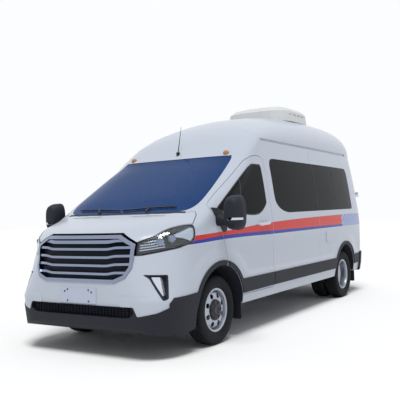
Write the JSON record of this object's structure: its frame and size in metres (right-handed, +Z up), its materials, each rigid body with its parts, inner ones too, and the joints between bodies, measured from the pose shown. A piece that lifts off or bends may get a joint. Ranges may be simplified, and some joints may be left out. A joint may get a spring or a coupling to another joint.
{
  "type": "mobile dental clinic van",
  "caption": "High-roof van fitted as a mobile dental clinic, with twin rear wheels, opening cab doors, rear doors and bonnet, and a dental chair inside.",
  "frame": {"origin": "on the ground under the middle of the van's bounding box", "axes": "+Z up, -Y towards the front, +X towards the van's left side"},
  "size_m": [2.65, 5.977, 2.905],
  "materials": {
    "antenna": "matte black",
    "body_shell": "gloss white paint",
    "bonnet": "gloss white paint",
    "cabinet": "white laminate",
    "chassis_frame": "black paint",
    "dashboard": "matte black",
    "dental_chair": "teal upholstery",
    "door_glass_left": "tinted",
    "door_glass_right": "tinted",
    "driver_seat": "woven grey",
    "engine_block": "raw cast",
    "exhaust": "dull steel",
    "front_bumper": "gloss white paint",
    "front_door_left": "gloss white paint",
    "front_door_right": "gloss white paint",
    "front_rim_left": "silver paint",
    "front_rim_right": "silver paint",
    "front_subframe": "black paint",
    "front_tyre_left": "matte rubber",
    "front_tyre_right": "matte rubber",
    "fuel_tank": "matte black",
    "grille": "bright",
    "headlamp_left": "clear lens over dark housing",
    "headlamp_right": "clear lens over dark housing",
    "high_roof": "gloss white paint",
    "knuckle_left": "raw cast",
    "knuckle_right": "raw cast",
    "lower_bumper": "textured dark",
    "marker_lamp_left": "clear amber",
    "marker_lamp_right": "clear amber",
    "mirror_left": "satin black",
    "mirror_right": "satin black",
    "passenger_seat": "woven grey",
    "rear_axle": "black paint",
    "rear_bumper": "textured dark",
    "rear_door_left": "gloss white paint",
    "rear_door_right": "gloss white paint",
    "rear_glass_left": "dark tinted",
    "rear_glass_right": "dark tinted",
    "rear_rims_left": "silver paint",
    "rear_rims_right": "silver paint",
    "rear_tyre_inner_left": "matte rubber",
    "rear_tyre_inner_right": "matte rubber",
    "rear_tyre_outer_left": "matte rubber",
    "rear_tyre_outer_right": "matte rubber",
    "roof_unit": "gloss white paint",
    "side_cladding_left": "textured dark",
    "side_cladding_right": "textured dark",
    "side_glass_left": "dark tinted",
    "side_glass_right": "dark tinted",
    "sliding_door": "gloss white paint",
    "sliding_door_glass": "dark tinted",
    "tail_lamp_left": "red lens",
    "tail_lamp_right": "red lens",
    "windscreen": "blue tinted"
  },
  "bodies": {
    "van_body": {"body_shell": "body_shell", "high_roof": "high_roof", "roof_unit": "roof_unit", "antenna": "antenna", "marker_lamp_left": "marker_lamp_left", "marker_lamp_right": "marker_lamp_right", "windscreen": "windscreen", "front_bumper": "front_bumper", "lower_bumper": "lower_bumper", "grille": "grille", "headlamp_left": "headlamp_left", "headlamp_right": "headlamp_right", "sliding_door": "sliding_door", "sliding_door_glass": "sliding_door_glass", "side_glass_left": "side_glass_left", "side_glass_right": "side_glass_right", "side_cladding_left": "side_cladding_left", "side_cladding_right": "side_cladding_right", "tail_lamp_left": "tail_lamp_left", "tail_lamp_right": "tail_lamp_right", "rear_bumper": "rear_bumper", "chassis_frame": "chassis_frame", "front_subframe": "front_subframe", "engine_block": "engine_block", "rear_axle": "rear_axle", "fuel_tank": "fuel_tank", "exhaust": "exhaust", "dashboard": "dashboard", "driver_seat": "driver_seat", "passenger_seat": "passenger_seat", "dental_chair": "dental_chair", "cabinet": "cabinet"},
    "bonnet": {"bonnet": "bonnet"},
    "front_door_left": {"front_door_left": "front_door_left", "door_glass_left": "door_glass_left", "mirror_left": "mirror_left"},
    "rear_door_left": {"rear_door_left": "rear_door_left", "rear_glass_left": "rear_glass_left"},
    "knuckle_left": {"knuckle_left": "knuckle_left"},
    "front_wheel_left": {"front_rim_left": "front_rim_left", "front_tyre_left": "front_tyre_left"},
    "rear_wheels_left": {"rear_rims_left": "rear_rims_left", "rear_tyre_outer_left": "rear_tyre_outer_left", "rear_tyre_inner_left": "rear_tyre_inner_left"},
    "front_door_right": {"front_door_right": "front_door_right", "door_glass_right": "door_glass_right", "mirror_right": "mirror_right"},
    "rear_door_right": {"rear_door_right": "rear_door_right", "rear_glass_right": "rear_glass_right"},
    "knuckle_right": {"knuckle_right": "knuckle_right"},
    "front_wheel_right": {"front_rim_right": "front_rim_right", "front_tyre_right": "front_tyre_right"},
    "rear_wheels_right": {"rear_rims_right": "rear_rims_right", "rear_tyre_outer_right": "rear_tyre_outer_right", "rear_tyre_inner_right": "rear_tyre_inner_right"}
  },
  "joints": [
    {"name": "bonnet_lift", "type": "hinge", "parent": "van_body", "child": "bonnet", "pos_m": [0, -2.19, 1.372], "axis": [-1, 0, 0], "range_deg": [0, 50]},
    {"name": "front_door_swing_left", "type": "hinge", "parent": "van_body", "child": "front_door_left", "pos_m": [1.034, -2.105, 0.9], "axis": [0, 0, -1], "range_deg": [0, 60]},
    {"name": "rear_door_swing_left", "type": "hinge", "parent": "van_body", "child": "rear_door_left", "pos_m": [0.88, 2.905, 1.4], "axis": [0, 0, -1], "range_deg": [0, 95]},
    {"name": "steer_left", "type": "hinge", "parent": "van_body", "child": "knuckle_left", "pos_m": [0.745, -1.955, 0.349], "axis": [0, 0, 1], "range_deg": [-32, 32]},
    {"name": "front_wheel_spin_left", "type": "hinge", "parent": "knuckle_left", "child": "front_wheel_left", "pos_m": [0.857, -1.955, 0.349], "axis": [1, 0, 0], "continuous": true},
    {"name": "rear_wheels_spin_left", "type": "hinge", "parent": "van_body", "child": "rear_wheels_left", "pos_m": [0.763, 1.805, 0.349], "axis": [1, 0, 0], "continuous": true},
    {"name": "front_door_swing_right", "type": "hinge", "parent": "van_body", "child": "front_door_right", "pos_m": [-1.034, -2.105, 0.9], "axis": [0, 0, 1], "range_deg": [0, 60]},
    {"name": "rear_door_swing_right", "type": "hinge", "parent": "van_body", "child": "rear_door_right", "pos_m": [-0.88, 2.905, 1.4], "axis": [0, 0, 1], "range_deg": [0, 95]},
    {"name": "steer_right", "type": "hinge", "parent": "van_body", "child": "knuckle_right", "pos_m": [-0.745, -1.955, 0.349], "axis": [0, 0, 1], "range_deg": [-32, 32]},
    {"name": "front_wheel_spin_right", "type": "hinge", "parent": "knuckle_right", "child": "front_wheel_right", "pos_m": [-0.857, -1.955, 0.349], "axis": [1, 0, 0], "continuous": true},
    {"name": "rear_wheels_spin_right", "type": "hinge", "parent": "van_body", "child": "rear_wheels_right", "pos_m": [-0.763, 1.805, 0.349], "axis": [1, 0, 0], "continuous": true}
  ],
  "couplings": [
    {"joint": "steer_right", "follows": "steer_left", "ratio": 1}
  ]
}
